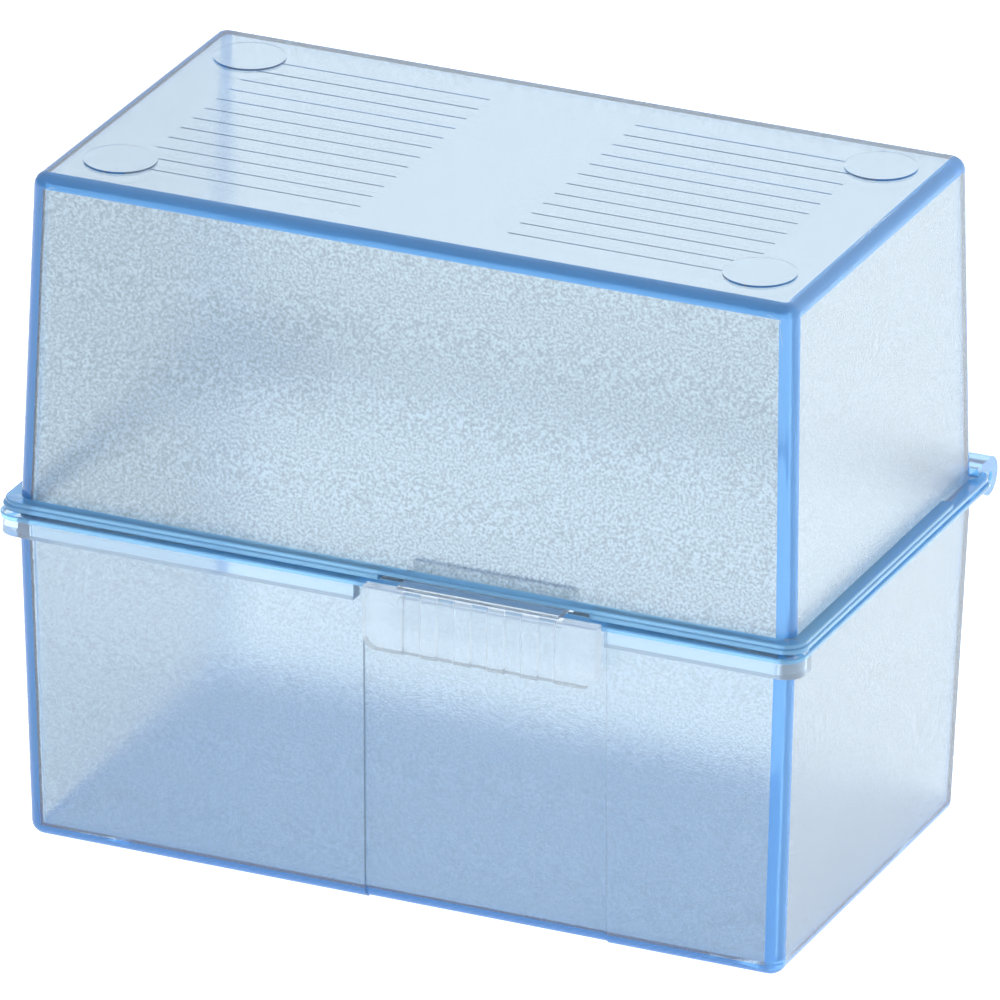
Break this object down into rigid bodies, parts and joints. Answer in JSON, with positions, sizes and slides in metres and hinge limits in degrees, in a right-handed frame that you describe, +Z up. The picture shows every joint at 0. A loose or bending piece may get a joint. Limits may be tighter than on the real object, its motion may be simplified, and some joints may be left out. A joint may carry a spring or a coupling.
{
  "type": "card index box",
  "caption": "Translucent blue plastic card index box with a hinged lid, a clear ribbed snap latch at the front and stacking pads on top.",
  "frame": {"origin": "middle of the footprint on the surface the box stands on, with the latch and the hinge counted in", "axes": "+X to the right when facing the latch, -Y towards the user (the latch side), +Z up"},
  "size_m": [0.1194, 0.0766, 0.0983],
  "materials": {
    "frosted_blue_base": "translucent blue plastic, finely textured outside, smooth inside",
    "frosted_blue_lid": "translucent blue plastic, finely textured outside, smooth inside",
    "clear_latch": "clear colourless plastic, polished",
    "pin_steel": "plain drawn steel pin"
  },
  "bodies": {
    "base": {"base_shell": "frosted_blue_base", "hinge_pin_left": "pin_steel", "hinge_pin_right": "pin_steel"},
    "lid": {"lid_shell": "frosted_blue_lid"},
    "latch": {"latch": "clear_latch"}
  },
  "joints": [
    {"name": "lid_hinge", "type": "hinge", "parent": "base", "child": "lid", "pos_m": [0, 0.03553, 0.0486], "axis": [-1, 0, 0], "range_deg": [0, 100]},
    {"name": "latch_release", "type": "hinge", "parent": "lid", "child": "latch", "pos_m": [0.0133, -0.03497, 0.04965], "axis": [-1, 0, 0], "range_deg": [0, 12], "stiffness_Nm_per_rad": 0.02}
  ]
}
